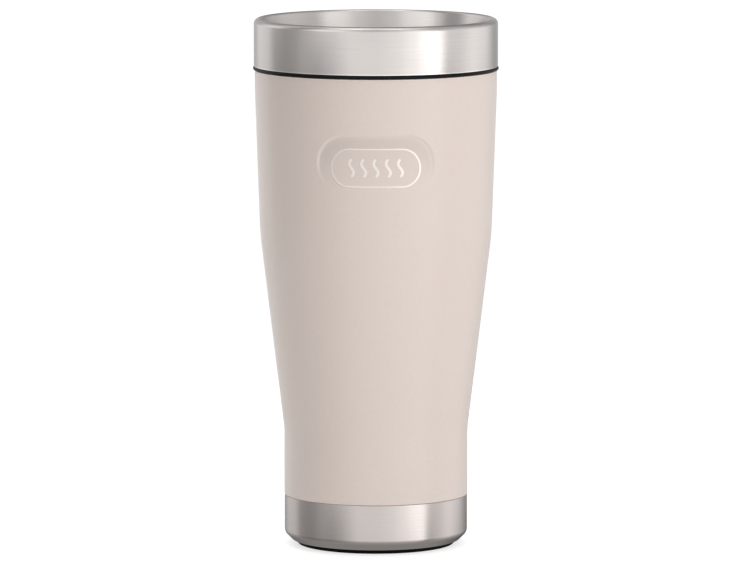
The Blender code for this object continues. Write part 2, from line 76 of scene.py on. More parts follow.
# coated wall
COAT_LOW_RADIUS = 0.0317
TAPER_BOTTOM = 0.0402
TAPER_TOP = 0.1077
TAPER_TOP_RADIUS = 0.0399
SHOULDER = 0.1570
SHOULDER_RADIUS = reach("outer_shell")
COAT_BOTTOM = top("base_band") + GAP
MOUTH_TOP = top("outer_shell") + TRIM
SLEEVE_RADIUS = 0.0308
SLEEVE_BOTTOM = bottom("outer_shell")
WALL_SPACE = 0.0037  # outer surface to inner surface, both sheets included
COAT_FOOT_ROUND = 0.00015
TAPER_BOTTOM_BEND = 0.025
TAPER_TOP_BEND = 0.090
SHOULDER_BEND = 0.080
MOUTH_ROUND = 0.0003

# badge: a shallow pill-shaped recess that runs out towards its foot
BADGE_HEIGHT = 0.1355
BADGE_HALF_WIDTH = 0.0210
BADGE_HALF_HEIGHT = 0.0100
BADGE_WALL = 0.0009
BADGE_DEPTH = 0.0004
RECESS_FADE = 1.4 * BADGE_HALF_HEIGHT  # from the recess' foot to its full depth
# painted shade in the badge recess and painted highlight on the coat's lip, kept as a value on each wall
# vertex
PAINTED_LIGHT_ATTRIBUTE = "painted_shade_and_highlight"
PANEL_EDGE = 0.0024
PANEL_FADE = 1.7 * BADGE_HALF_HEIGHT  # from the recess' foot to its full darkness
# painted shade: how much darker the coat's colour is made in the recess, most under its top edge
PANEL_PAINTED_SHADE = 0.115
OUTLINE_INSIDE_SHARE = 0.4  # how much of that darkness is left inside the pill outline
# painted highlight: how much lighter the coat's colour is made along its top lip
LIP_PAINTED_HIGHLIGHT = 0.45
LIP_HEIGHT = 0.0004
BADGE_CELL = 0.0003
OUTLINE_HALF_WIDTH = 0.0155
OUTLINE_HALF_HEIGHT = 0.0064
OUTLINE_HEIGHT = 0.1341
OUTLINE_STROKE = 0.0006
WAVE_STROKE = 0.0009
WAVE_HALF_LENGTH = 0.0031
WAVE_SWING = 0.00075
WAVE_PITCH = 0.0042
WAVE_COUNT = 5
INLAY_LIFT = 0.00004
INLAY_END = 0.05  # a line's end keeps the square root of this share of its width
INLAY_SECTION = ((1, -1), (1, 0.5), (0.6, 1), (-0.6, 1), (-1, 0.5), (-1, -1))  # half widths, lifts

# foot and band
BAND_RADIUS = reach("base_band")
BAND_FOOT = bottom("base_band")
BAND_TOP = top("base_band")
BAND_FOOT_RADIUS = 0.0289
BAND_FOOT_ROUND = 0.0006
BAND_CHAMFER_TOP = 0.0041
BAND_CHAMFER_ROUND = 0.0026
BAND_RISE = 0.0002  # into the gap below the coat
BAND_TOP_ROUND = 0.0001
PAD_RADIUS = 0.0269
PAD_ROUND = 0.0005
PAD_TOP_RADIUS = reach("foot_pad")
PAD_TOP = top("foot_pad")
PAD_TOP_ROUND = 0.0002
PAD_GROOVES = (0.0130, 0.0165, 0.0200, 0.0235)
PAD_GROOVE_WIDTH = 0.0008
PAD_GROOVE_DEPTH = 0.0005

# liner and thread
LINER_FLOOR = bottom("inner_liner") + SHEET
LINER_FLOOR_FILLET = 0.0060
LINER_LOW_BEND = 0.030
LINER_HIGH_BEND = 0.060
NECK_RADIUS = 0.0373
NECK_TOP = 0.1489
NECK_ROUND = 0.0006
MOUTH_RADIUS = reach("inner_liner") - SHEET
MOUTH_BOTTOM = 0.1505
LINER_LIP_ROUND = 0.0002
STARTS = 3
LEAD = 0.0108
THREAD_ARC = math.radians(130)
THREAD_FADE = math.radians(16)
THREAD_STEPS = 60
THREAD_ROOT_HALF = 0.0009
THREAD_CREST_HALF = 0.0004
THREAD_END_RISE = 0.05  # share of a ridge's height that is left at its ends
LINER_THREAD_START = 0.1562
LINER_THREAD_CREST = 0.0383
LID_THREAD_CREST = 0.0388
LID_THREAD_START = LINER_THREAD_START - LEAD / STARTS / 2

# lid
SKIRT_RADIUS = 0.0376
SKIRT_WALL = 0.0018
SKIRT_BOTTOM = bottom("lid_body")
SKIRT_FOOT_RADIUS = 0.0369
SKIRT_FOOT_ROUND = 0.0005
SKIRT_STEP_ROUND = 0.0003
SKIRT_FLOOR_FILLET = 0.0010
SEAL_RADIUS = reach("lid_seal")
SEAL_BOTTOM = bottom("lid_seal")
SEAL_TOP = top("lid_seal")
SEAL_GROOVE_RADIUS = 0.0364
SEAL_CHAMFER = 0.0006
SEAL_WAIST = 0.0003
SEAL_ROUND = 0.0002
FLANGE_RADIUS = reach("lid_body")
FLANGE_BOTTOM = MOUTH_TOP + SEAM
COLLAR_RADIUS = reach("lid_collar")
COLLAR_BOTTOM = bottom("lid_collar") - TRIM
COLLAR_EDGE_ROUND = 0.00015
FLANGE_TOP = COLLAR_BOTTOM - SEAM
FLANGE_ROUND = (FLANGE_TOP - FLANGE_BOTTOM) * 0.42
RIM_TOP = top("lid_collar")
RIM_ROUND = 0.0017
RIM_INNER_RADIUS = 0.0399
RIM_INNER_ROUND = 0.0009
DECK_BOTTOM = bottom("lid_deck")
DECK_TOP = 0.1730
COLLAR_FOOT = DECK_TOP + SEAM
DECK_RADIUS = reach("lid_deck")
DECK_EDGE_ROUND = 0.0003
GROOVE_RADIUS = 0.0365
GROOVE_HALF = 0.0005
GROOVE_DEPTH = 0.00035
GROOVE_EDGE_ROUND = 0.0002
GROOVE_FLOOR_ROUND = 0.0001
FIELD_EDGE = 0.0350
FIELD_RADIUS = 0.0336
FIELD_DEPTH = 0.00022
FIELD_BEND = 0.0020
COLLAR_FOOT_RADIUS = 0.0384
UPSTAND_TOP = top("lid_body")

# drink port, rails and slider
PORT_Y = -0.0275
PORT_HALF_WIDTH = 0.0100
PORT_HALF_DEPTH = 0.0040
PORT_WALL = 0.0015
VENT_Y = -0.0205
VENT_RADIUS = 0.0010
SLIDER_FRONT_RADIUS = 0.0353
SLIDER_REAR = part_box("slider")[1].y
SLIDER_HALF_WIDTH = 0.0122
RUNNER_HALF_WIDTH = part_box("slider")[1].x
RUNNER_BOTTOM = bottom("slider")
RUNNER_TOP = RUNNER_BOTTOM + 0.0014
SLIDER_TOP = RUNNER_TOP + 0.0012
SLIDER_CORNER = 0.0025
TAB_TOP = top("slider")
TAB_FRONT = -0.0200
TAB_REAR = -0.0105
TAB_SLOPE = 0.0014
TAB_HALF_WIDTH = 0.0088
RAIL_FRONT = -0.0290
RAIL_REAR = 0.0103
RAIL_INNER = RUNNER_HALF_WIDTH + 0.0004
RAIL_OUTER = RAIL_INNER + 0.0015
RAIL_LIP_INNER = SLIDER_HALF_WIDTH + 0.0004
RAIL_LIP_BOTTOM = RUNNER_TOP + GAP
RAIL_TOP = top("lid_deck")
STOP_DEPTH = 0.0018
CUT_BEVEL = 0.00025
RAIL_BEVEL = 0.0004
RUNNER_BEVEL = 0.0002
COVER_BEVEL = 0.0006
TAB_BEVEL = 0.0008
PORT_PAD_CORNER = 0.0040
PORT_PAD_BEVEL = 0.0002
GRIP_RIBS = 5
GRIP_CELL = 0.00016
GRIP_CORNER = 0.0020
GRIP_EDGE = 0.0008
GRIP_LEVELS = (0.30, 0.1, 0.6)  # shares of the grip's height: its rim, its plate above that, its ribs


# ---------------------------------------------------------------- mesh helpers
def rounded(corners, closed):
    """Points of an outline. A corner is (a, b) or (a, b, radius), and a radius makes an arc there."""
    count = len(corners)
    points = []
    for i, corner in enumerate(corners):
        here = corner[:2]
        radius = corner[2] if len(corner) > 2 else 0.0
        if radius == 0.0 or (not closed and i in (0, count - 1)):
            points.append(here)
            continue
        before = corners[i - 1][:2]
        after = corners[(i + 1) % count][:2]
        to_before = math.atan2(before[1] - here[1], before[0] - here[0])
        to_after = math.atan2(after[1] - here[1], after[0] - here[0])
        turn = (to_after - to_before + math.pi) % TAU - math.pi
        half = abs(turn) / 2
        middle = to_before + turn / 2
        away = radius / math.sin(half)
        centre = (here[0] + away * math.cos(middle), here[1] + away * math.sin(middle))
        sweep = math.pi - 2 * half
        side = math.copysign(1.0, turn)
        steps = max(3, math.ceil(sweep / ARC_STEP))
        for step in range(steps + 1):
            angle = middle + math.pi + side * sweep * (0.5 - step / steps)
            points.append((centre[0] + radius * math.cos(angle), centre[1] + radius * math.sin(angle)))
    return points


def link(name, bm):
    """Adds a mesh to the scene with smooth shading between sharp edges."""
    bmesh.ops.recalc_face_normals(bm, faces=bm.faces)
    mesh = bpy.data.meshes.new(name)
    bm.to_mesh(mesh)
    bm.free()
    mesh.shade_smooth()
    mesh.set_sharp_from_angle(angle=SHARP_ANGLE)
    obj = bpy.data.objects.new(name, mesh)
    bpy.context.scene.collection.objects.link(obj)
    return obj


def turned(name, corners, closed=True):
    """A solid of revolution about Z. An open profile starts and ends on the axis."""
    bm = bmesh.new()
    points = [bm.verts.new((r, 0.0, z)) for r, z in rounded(corners, closed)]
    ends = points[1:] + points[:1] if closed else points[1:]
    edges = [bm.edges.new(pair) for pair in zip(points, ends)]
    bmesh.ops.spin(
        bm,
        geom=points + edges,
        cent=(0, 0, 0),
        axis=(0, 0, 1),
        angle=TAU,
        steps=TURN_STEPS,
        use_merge=True,
    )
    bmesh.ops.remove_doubles(bm, verts=bm.verts, dist=1e-7)
    return link(name, bm)


def prism(name, outline, low, high):
    """An outline in X and Y, raised from low to high."""
    bm = bmesh.new()
    face = bm.faces.new([bm.verts.new((x, y, low)) for x, y in outline])
    raised = bmesh.ops.extrude_face_region(bm, geom=[face])["geom"]
    tops = [item for item in raised if isinstance(item, bmesh.types.BMVert)]
    bmesh.ops.translate(bm, verts=tops, vec=(0, 0, high - low))
    return link(name, bm)


def bar(name, section, axis, start, end):
    """A section drawn out along X or Y. It is given in (Y, Z) for axis X and in (X, Z) for axis Y."""
    bm = bmesh.new()
    if axis == "X":
        ring = [bm.verts.new((start, a, b)) for a, b in section]
        move = (end - start, 0, 0)
    else:
        ring = [bm.verts.new((a, start, b)) for a, b in section]
        move = (0, end - start, 0)
    raised = bmesh.ops.extrude_face_region(bm, geom=[bm.faces.new(ring)])["geom"]
    ends = [item for item in raised if isinstance(item, bmesh.types.BMVert)]
    bmesh.ops.translate(bm, verts=ends, vec=move)
    return link(name, bm)


def box_outline(x0, x1, y0, y1, radius=0.0):
    corners = [(x0, y0, radius), (x1, y0, radius), (x1, y1, radius), (x0, y1, radius)]
    return rounded(corners, closed=True)


def stadium(half_width, radius, centre_y, steps=20):
    """A slot outline with round ends, long in X."""
    points = []
    for end in (1, -1):
        for step in range(steps + 1):
            angle = math.pi * (step / steps - 0.5)
            x = end * (half_width - radius + radius * math.cos(angle))
            points.append((x, centre_y + end * radius * math.sin(angle)))
    return points


def circle(radius, y, steps=32):
    angles = [TAU * i / steps for i in range(steps)]
    return [(radius * math.cos(angle), y + radius * math.sin(angle)) for angle in angles]


def settle(obj):
    """Makes the evaluated mesh the object's own, with no modifiers left."""
    graph = bpy.context.evaluated_depsgraph_get()
    mesh = bpy.data.meshes.new_from_object(obj.evaluated_get(graph))
    obj.modifiers.clear()
    obj.data = mesh
    mesh.shade_smooth()
    mesh.set_sharp_from_angle(angle=SHARP_ANGLE)
    return obj


def softened(obj, width, segments=3):
    """Rounds the edges between faces that meet at a clear angle."""
    bevel = obj.modifiers.new("edges", "BEVEL")
    bevel.width = width
    bevel.segments = segments
    bevel.limit_method = "ANGLE"
    bevel.angle_limit = BEVEL_ANGLE
    bevel.use_clamp_overlap = True
    return settle(obj)


def combined(obj, tool, operation):
    """Cuts tool from obj or joins it on, and removes tool."""
    modifier = obj.modifiers.new(tool.name, "BOOLEAN")
    modifier.operation = operation
    modifier.object = tool
    modifier.solver = "EXACT"
    settle(obj)
    bpy.data.objects.remove(tool)
    return obj


def flat_faces_first(obj):
    """Lets large flat faces keep flat shading beside their rounded edges."""
    weighted = obj.modifiers.new("weighted_normals", "WEIGHTED_NORMAL")
    weighted.keep_sharp = True
    return obj


def joined(bm, rings, closed):
    """Faces between rings of points. An open run of rings gets a face at each end."""
    for near, far in zip(rings, rings[1:] + rings[:1] if closed else rings[1:]):
        for i in range(len(near)):
            j = (i + 1) % len(near)
            bm.faces.new((near[i], near[j], far[j], far[i]))
    if not closed:
        bm.faces.new(rings[0])
        bm.faces.new(reversed(rings[-1]))


def thread_ridges(name, start_height, root_radius, crest_radius):
    """Ridges of a multi-start thread, each a trapezoid swept along a helix and faded out at its ends."""
    bm = bmesh.new()
    buried = root_radius + math.copysign(GAP, root_radius - crest_radius)
    for start in range(STARTS):
        rings = []
        for step in range(THREAD_STEPS + 1):
            along = THREAD_ARC * step / THREAD_STEPS
            angle = TAU * start / STARTS + along
            height = start_height + LEAD * along / TAU
            from_end = min(along, THREAD_ARC - along)
            rise = min(1.0, from_end / THREAD_FADE + THREAD_END_RISE)
            crest = root_radius + rise * (crest_radius - root_radius)
            section = [
                (buried, -THREAD_ROOT_HALF),
                (crest, -THREAD_CREST_HALF),
                (crest, THREAD_CREST_HALF),
                (buried, THREAD_ROOT_HALF),
            ]
            across, up = math.cos(angle), math.sin(angle)
            rings.append([bm.verts.new((r * across, r * up, height + dz)) for r, dz in section])
        joined(bm, rings, closed=False)
    return link(name, bm)


# ---------------------------------------------------------------- materials
# Each edge is (height, softness, factor): the colour is multiplied by the factor below the height, which
# paints a highlight or shade there.
# painted highlight: the collar's colour is made lighter along its bottom edge
PAINTED_EDGE_HIGHLIGHT = (COLLAR_BOTTOM + 0.0004, 0.00005, 1.4)
# painted shade: the band's colour is made darker on the foot's chamfer near the floor
PAINTED_CHAMFER_SHADE = (0.0043, 0.0009, 0.67)

# colour, roughness, anisotropy, depth of the brushed lines, their contrast, edge of painted highlight or
# shade
METALS = {
    "brushed_steel": ((0.666, 0.627, 0.607), 0.24, 0.75, 0.000006, 0.03, PAINTED_EDGE_HIGHLIGHT),
    # band_steel is the collar's steel made about 0.88 times as dark and a little warmer; the darkness is
    # painted shade for the lower light near the floor
    "band_steel": ((0.590, 0.541, 0.520), 0.26, 0.70, 0.000004, 0.018, PAINTED_CHAMFER_SHADE),
    "flask_steel": ((0.66, 0.65, 0.63), 0.20, 0.4, 0.000003, 0.03, None),
    "copper": ((0.80, 0.45, 0.33), 0.25, 0.3, 0.000003, 0.03, None),
}

# colour, roughness, grain cycles in a metre, grain depth, specular level
PLASTICS = {
    "lid_black": ((0.004, 0.004, 0.004), 0.38, 2500, 0.000008, 0.12),
    "deck_black": ((0.020, 0.020, 0.021), 0.46, 3500, 0.00002, 0.5),
    "slider_black": ((0.013, 0.013, 0.014), 0.24, 1800, 0.000002, 0.5),
    "foot_rubber": ((0.003, 0.003, 0.003), 0.85, 2500, 0.00002, 0.06),
    "grip_rubber": ((0.055, 0.055, 0.056), 0.60, 4000, 0.000006, 0.35),
    "silicone": ((0.50, 0.50, 0.49), 0.50, 2000, 0.000006, 0.5),
}


def principled(name, colour, roughness, metallic=0.0, specular=0.5):
    made = bpy.data.materials.new(name)
    made.use_nodes = True
    shader = made.node_tree.nodes["Principled BSDF"]
    shader.inputs["Base Color"].default_value = (*colour, 1.0)
    shader.inputs["Roughness"].default_value = roughness
    shader.inputs["Metallic"].default_value = metallic
    shader.inputs["Specular IOR Level"].default_value = specular
    return made, made.node_tree, shader


def node(tree, kind, **settings):
    made = tree.nodes.new(kind)
    for key, value in settings.items():
        setattr(made, key, value)
    return made


def object_place(tree):
    return node(tree, "ShaderNodeTexCoord").outputs["Object"]


def stretched_noise(tree, scale, detail=2.0, roughness=0.5):
    """Noise over object coordinates, each axis stretched by its own scale, in cycles per metre."""
    stretch = node(tree, "ShaderNodeVectorMath", operation="MULTIPLY")
    stretch.inputs[1].default_value = scale
    noise = node(tree, "ShaderNodeTexNoise")
    noise.inputs["Scale"].default_value = 1.0
    noise.inputs["Detail"].default_value = detail
    noise.inputs["Roughness"].default_value = roughness
    tree.links.new(object_place(tree), stretch.inputs[0])
    tree.links.new(stretch.outputs[0], noise.inputs["Vector"])
    return noise.outputs["Fac"]


def spread(tree, source, low, high, start=0.3, end=0.7):
    """Maps a value between start and end onto low to high."""
    ranged = node(tree, "ShaderNodeMapRange")
    ranged.inputs["From Min"].default_value = start
    ranged.inputs["From Max"].default_value = end
    ranged.inputs["To Min"].default_value = low
    ranged.inputs["To Max"].default_value = high
    tree.links.new(source, ranged.inputs["Value"])
    return ranged.outputs["Result"]


def tinted(tree, shader, source, dark, light):
    """Base colour that varies between two close colours."""
    mix = node(tree, "ShaderNodeMix", data_type="RGBA")
    mix.inputs["A"].default_value = (*dark, 1.0)
    mix.inputs["B"].default_value = (*light, 1.0)
    tree.links.new(source, mix.inputs["Factor"])
    tree.links.new(mix.outputs["Result"], shader.inputs["Base Color"])


def bumps(tree, shader, layers):
    """Chains bump layers, each (height source, distance in metres)."""
    normal = None
    for source, distance in layers:
        bump = node(tree, "ShaderNodeBump")
        bump.inputs["Strength"].default_value = 1.0
        bump.inputs["Distance"].default_value = distance
        tree.links.new(source, bump.inputs["Height"])
        if normal is not None:
            tree.links.new(normal, bump.inputs["Normal"])
        normal = bump.outputs["Normal"]
    tree.links.new(normal, shader.inputs["Normal"])


def shaded(colour, factor):
    return tuple(channel * factor for channel in colour)


def powder_coat():
    """Sandstone powder coat: fine grain over a faint orange peel, with painted shade in the badge recess
    and a painted highlight on the lip.
    """
    colour = (0.590, 0.510, 0.467)
    made, tree, shader = principled("powder_coat", colour, 0.34)
    shader.inputs["Sheen Weight"].default_value = 0.30
    shader.inputs["Sheen Roughness"].default_value = 0.30
    mottle = stretched_noise(tree, (900, 900, 900), detail=3.0)
    tinted(tree, shader, spread(tree, mottle, 0.0, 1.0), shaded(colour, 0.985), shaded(colour, 1.015))
    # painted shade in the badge recess and painted highlight on the lip, read from the wall's vertex values
    painted_light = node(tree, "ShaderNodeAttribute", attribute_name=PAINTED_LIGHT_ATTRIBUTE)
    brightened(tree, shader, spread(tree, painted_light.outputs["Fac"], 1.5, 0.5, start=-0.5, end=0.5))
    grain = stretched_noise(tree, (3200, 3200, 3200), detail=2.0)
    peel = stretched_noise(tree, (420, 420, 420), detail=1.0)
    bumps(tree, shader, [(grain, 0.000012), (peel, 0.00002)])
    tree.links.new(spread(tree, grain, 0.30, 0.38), shader.inputs["Roughness"])
    return made


def brushed_steel(name, colour, roughness, anisotropy, line, streak, edge):
    """Metal brushed round the axis: long fine streaks that stretch highlights up and down."""
    made, tree, shader = principled(name, colour, roughness, metallic=1.0)
    shader.inputs["Anisotropic"].default_value = anisotropy
    shader.inputs["Anisotropic Rotation"].default_value = 0.25
    tangent = node(tree, "ShaderNodeTangent", direction_type="RADIAL", axis="Z")
    tree.links.new(tangent.outputs["Tangent"], shader.inputs["Tangent"])
    lines = stretched_noise(tree, (45, 45, 9000), detail=3.0, roughness=0.6)
    bands = stretched_noise(tree, (25, 25, 5000), detail=1.0)
    streaks = spread(tree, lines, 0.0, 1.0)
    tinted(tree, shader, streaks, shaded(colour, 1 - streak), shaded(colour, 1 + streak))
    tree.links.new(spread(tree, bands, roughness - 0.015, roughness + 0.015), shader.inputs["Roughness"])
    bumps(tree, shader, [(lines, line)])
    # the edge's painted highlight or painted shade
    if edge is not None:
        paint_light_below(tree, shader, *edge)
    return made


def paint_light_below(tree, shader, height, softness, factor):
    """Paints light into the base colour below a height, over a soft border: a factor above 1 is a painted
    highlight, below 1 painted shade.
    """
    split = node(tree, "ShaderNodeSeparateXYZ")
    tree.links.new(object_place(tree), split.inputs[0])
    low, high = height - softness, height + softness
    brightened(tree, shader, spread(tree, split.outputs["Z"], factor, 1.0, start=low, end=high))


def brightened(tree, shader, factor):
    """Multiplies the base colour by a factor."""
    scaled = node(tree, "ShaderNodeVectorMath", operation="SCALE")
    tree.links.new(shader.inputs["Base Color"].links[0].from_socket, scaled.inputs[0])
    tree.links.new(factor, scaled.inputs["Scale"])
    tree.links.new(scaled.outputs[0], shader.inputs["Base Color"])


def moulded(name, colour, roughness, grain_scale, grain_depth, specular):
    """Moulded plastic, rubber or silicone with a fine mould texture."""
    made, tree, shader = principled(name, colour, roughness, specular=specular)
    grain = stretched_noise(tree, (grain_scale,) * 3, detail=2.0)
    cloud = stretched_noise(tree, (160, 160, 160), detail=2.0)
    tinted(tree, shader, spread(tree, cloud, 0.0, 1.0), shaded(colour, 0.92), shaded(colour, 1.08))
    tree.links.new(spread(tree, grain, roughness - 0.04, roughness + 0.04), shader.inputs["Roughness"])
    bumps(tree, shader, [(grain, grain_depth)])
    return made


def inlay_metal():
    """Bright satin metal of the badge's lines."""
    colour = (0.85, 0.79, 0.745)
    made, tree, shader = principled("badge_metal", colour, 0.38, metallic=1.0)
    grain = stretched_noise(tree, (5000, 5000, 5000), detail=1.0)
    tinted(tree, shader, spread(tree, grain, 0.0, 1.0), shaded(colour, 0.97), colour)
    bumps(tree, shader, [(grain, 0.000004)])
    return made


def fused_glass():
    """Dark cloudy glass of the bead that seals the vacuum."""
    made, tree, shader = principled("fused_glass", (0.05, 0.07, 0.07), 0.15)
    cloud = stretched_noise(tree, (700, 700, 700), detail=2.0)
    tinted(tree, shader, cloud, (0.03, 0.04, 0.04), (0.10, 0.12, 0.12))
    return made


def beaded_foam():
    """White foam of pressed beads."""
    made, tree, shader = principled("beaded_foam", (0.86, 0.85, 0.82), 0.85)
    cells = node(tree, "ShaderNodeTexVoronoi", feature="DISTANCE_TO_EDGE")
    cells.inputs["Scale"].default_value = 450.0
    tree.links.new(object_place(tree), cells.inputs["Vector"])
    edge = spread(tree, cells.outputs["Distance"], 0.0, 1.0, start=0.0, end=0.15)
    tinted(tree, shader, edge, (0.72, 0.71, 0.68), (0.88, 0.87, 0.84))
    bumps(tree, shader, [(edge, 0.0001)])
    return made


# ---------------------------------------------------------------- placing
def place(obj, body, look, slot, *nodes):
    """Gives a piece its material and its body, and hides the nodes it stands for. Its slot is not used."""
    obj.data.materials.clear()
    obj.data.materials.append(look)
    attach(obj, body)
    if nodes:
        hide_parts(*nodes)
    return obj


def dress(node_name, look):
    """Gives a carried-over node its material."""
    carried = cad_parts[node_name]
    carried.data.materials.clear()
    carried.data.materials.append(look)


# ---------------------------------------------------------------- coated wall and badge
def ramp(value):
    """Smooth step from 0 to 1."""
    value = min(1.0, max(0.0, value))
    return value * value * (3 - 2 * value)


def wall_radius(height):
    """Outer radius of the tapered wall between its foot and its shoulder."""
    stations = [
        (COAT_BOTTOM, COAT_LOW_RADIUS),
        (TAPER_BOTTOM, COAT_LOW_RADIUS),
        (TAPER_TOP, TAPER_TOP_RADIUS),
        (SHOULDER, SHOULDER_RADIUS),
    ]
    for (z0, r0), (z1, r1) in zip(stations, stations[1:]):
        if height <= z1:
            return r0 + (r1 - r0) * (height - z0) / (z1 - z0)
    return SHOULDER_RADIUS


def pill_distance(across, up, half_width, half_height):
    """Distance outside a pill shape's edge, negative inside it."""
    straight = half_width - half_height
    along = max(0.0, abs(across) - straight)
    return math.hypot(along, up) - half_height


def recess(across, height):
    """Depth of the badge recess at a point of the wall: full at its top, none at its foot."""
    up = height - BADGE_HEIGHT
    inside = -pill_distance(across, up, BADGE_HALF_WIDTH, BADGE_HALF_HEIGHT)
    fade = ramp((up + BADGE_HALF_HEIGHT) / RECESS_FADE)
    return BADGE_DEPTH * ramp(inside / BADGE_WALL) * fade


def painted_shade_and_highlight(across, height):
    """How much painted shade darkens the coat in the recess, less inside the outline. The lip's is below
    zero: a painted highlight, lighter.
    """
    # the lip gets a painted highlight
    if height > MOUTH_TOP - LIP_HEIGHT:
        return -LIP_PAINTED_HIGHLIGHT
    up = height - BADGE_HEIGHT
    inside = -pill_distance(across, up, BADGE_HALF_WIDTH, BADGE_HALF_HEIGHT)
    from_outline = pill_distance(across, height - OUTLINE_HEIGHT, OUTLINE_HALF_WIDTH, OUTLINE_HALF_HEIGHT)
    share = OUTLINE_INSIDE_SHARE if from_outline < 0 else 1.0
    fade = ramp((up + BADGE_HALF_HEIGHT) / PANEL_FADE)
    return PANEL_PAINTED_SHADE * share * ramp(inside / PANEL_EDGE) * fade


def front_point(across, height, lift=0.0):
    """A point of the badge's surface, from its distance round the wall and its height."""
    radius = wall_radius(height)
    angle = across / radius
    radius += lift - recess(across, height)
    return (radius * math.sin(angle), -radius * math.cos(angle), height)


def coat_outline():
    """Outer wall from its foot to its turned-in lip, then the inner side back down."""
    outer = [
        (SLEEVE_RADIUS, SLEEVE_BOTTOM),
        (SLEEVE_RADIUS, COAT_BOTTOM),
        (COAT_LOW_RADIUS, COAT_BOTTOM, COAT_FOOT_ROUND),
        (COAT_LOW_RADIUS, TAPER_BOTTOM, TAPER_BOTTOM_BEND),
        (TAPER_TOP_RADIUS, TAPER_TOP, TAPER_TOP_BEND),
        (SHOULDER_RADIUS, SHOULDER, SHOULDER_BEND),
        (SHOULDER_RADIUS, MOUTH_TOP - LIP_HEIGHT),
        (SHOULDER_RADIUS, MOUTH_TOP, MOUTH_ROUND),
    ]
    lip = MOUTH_RADIUS + SHEET + GAP
    inner = [
        (lip, MOUTH_TOP),
        (lip, MOUTH_TOP - SHEET),
        (SHOULDER_RADIUS - SHEET, MOUTH_TOP - SHEET),
        (SHOULDER_RADIUS - SHEET, SHOULDER),
        (TAPER_TOP_RADIUS - SHEET, TAPER_TOP),
        (COAT_LOW_RADIUS - SHEET, TAPER_BOTTOM),
        (COAT_LOW_RADIUS - SHEET, COAT_BOTTOM + SHEET),
        (SLEEVE_RADIUS - SHEET, COAT_BOTTOM + SHEET),
        (SLEEVE_RADIUS - SHEET, SLEEVE_BOTTOM),
    ]
    return rounded(outer + inner, closed=True)


def coat_columns():
    """Angles round the wall, close together where the badge is."""
    reach_angle = (BADGE_HALF_WIDTH + 2 * BADGE_WALL) / wall_radius(BADGE_HEIGHT)
    fine = math.ceil(2 * reach_angle * SHOULDER_RADIUS / BADGE_CELL)
    coarse = math.ceil((TAU - 2 * reach_angle) * TURN_STEPS / TAU)
    angles = [-reach_angle + 2 * reach_angle * i / fine for i in range(fine)]
    angles += [reach_angle + (TAU - 2 * reach_angle) * i / coarse for i in range(coarse)]
    return angles


def with_badge_rows(outline):
    """Adds closely spaced rows to the straight stretch of outer wall that holds the badge."""
    low = BADGE_HEIGHT - BADGE_HALF_HEIGHT - BADGE_WALL
    high = BADGE_HEIGHT + BADGE_HALF_HEIGHT + BADGE_WALL
    rows = []
    for here, after in zip(outline, outline[1:] + outline[:1]):
        rows.append(here)
        if here[1] < low and after[1] > high:
            count = math.ceil((high - low) / BADGE_CELL)
            for i in range(count + 1):
                height = low + (high - low) * i / count
                rows.append((wall_radius(height), height))
    return rows


def build_coat(look):
    rows = with_badge_rows(coat_outline())
    columns = coat_columns()
    bm = bmesh.new()
    shade = bm.verts.layers.float.new(PAINTED_LIGHT_ATTRIBUTE)
    grid = []
    for radius, height in rows:
        on_wall = abs(radius - wall_radius(height)) < BADGE_DEPTH
        ring = []
        for angle in columns:
            across = radius * ((angle + math.pi) % TAU - math.pi)
            r = radius - recess(across, height) if on_wall else radius
            vertex = bm.verts.new((r * math.sin(angle), -r * math.cos(angle), height))
            # each wall vertex carries its painted shade in the recess and painted highlight on the lip
            vertex[shade] = painted_shade_and_highlight(across, height) if on_wall else 0.0
            ring.append(vertex)
        grid.append(ring)
    joined(bm, grid, closed=True)
    place(link("coated_wall", bm), "mug", look, "coat", "outer_shell")


def inlay(name, paths, stroke, look):
    """Thin raised lines that follow the badge's surface. A path is (points, closed)."""
    bm = bmesh.new()
    for points, closed in paths:
        count = len(points)
        rings = []
        for i, (across, height) in enumerate(points):
            before = points[i - 1] if closed or i > 0 else points[i]
            after = points[(i + 1) % count] if closed or i < count - 1 else points[i]
            run, rise = after[0] - before[0], after[1] - before[1]
            length = math.hypot(run, rise)
            from_end = 1.0 if closed else min(i, count - 1 - i) * length / stroke
            half = stroke / 2 * math.sqrt(max(INLAY_END, 1 - (1 - min(1.0, from_end)) ** 2))
            aside, up = -rise / length * half, run / length * half
            ring = []
            for share, lift in INLAY_SECTION:
                point = front_point(across + share * aside, height + share * up, lift * INLAY_LIFT)
                ring.append(bm.verts.new(point))
            rings.append(ring)
        joined(bm, rings, closed)
    place(link(name, bm), "mug", look, "brushed_steel")


def pill_path(half_width, half_height, centre, spacing=0.0004):
    """Points round a pill outline on the wall."""
    straight = half_width - half_height
    points = []
    across_count = math.ceil(2 * straight / spacing)
    arc_count = math.ceil(math.pi * half_height / spacing)
    for end in (1, -1):
        for i in range(arc_count):
            angle = math.pi * (i / arc_count - 0.5)
            across = end * (straight + half_height * math.cos(angle))
            points.append((across, centre + end * half_height * math.sin(angle)))
        for i in range(across_count):
            across = end * (straight - 2 * straight * i / across_count)
            points.append((across, centre + end * half_height))
    return points


def wave_path(centre, points=28):
    """One rising steam wave: a stroke with one full swing from side to side."""
    path = []
    for i in range(points):
        share = i / (points - 1)
        up = WAVE_HALF_LENGTH * (2 * share - 1)
        path.append((centre + WAVE_SWING * math.sin(TAU * share), OUTLINE_HEIGHT + up))
    return path


def build_badge(look):
    outline = pill_path(OUTLINE_HALF_WIDTH, OUTLINE_HALF_HEIGHT, OUTLINE_HEIGHT)
    inlay("badge_outline", [(outline, True)], OUTLINE_STROKE, look)
    middle = (WAVE_COUNT - 1) / 2
    waves = [(wave_path((i - middle) * WAVE_PITCH), False) for i in range(WAVE_COUNT)]
    inlay("badge_waves", waves, WAVE_STROKE, look)


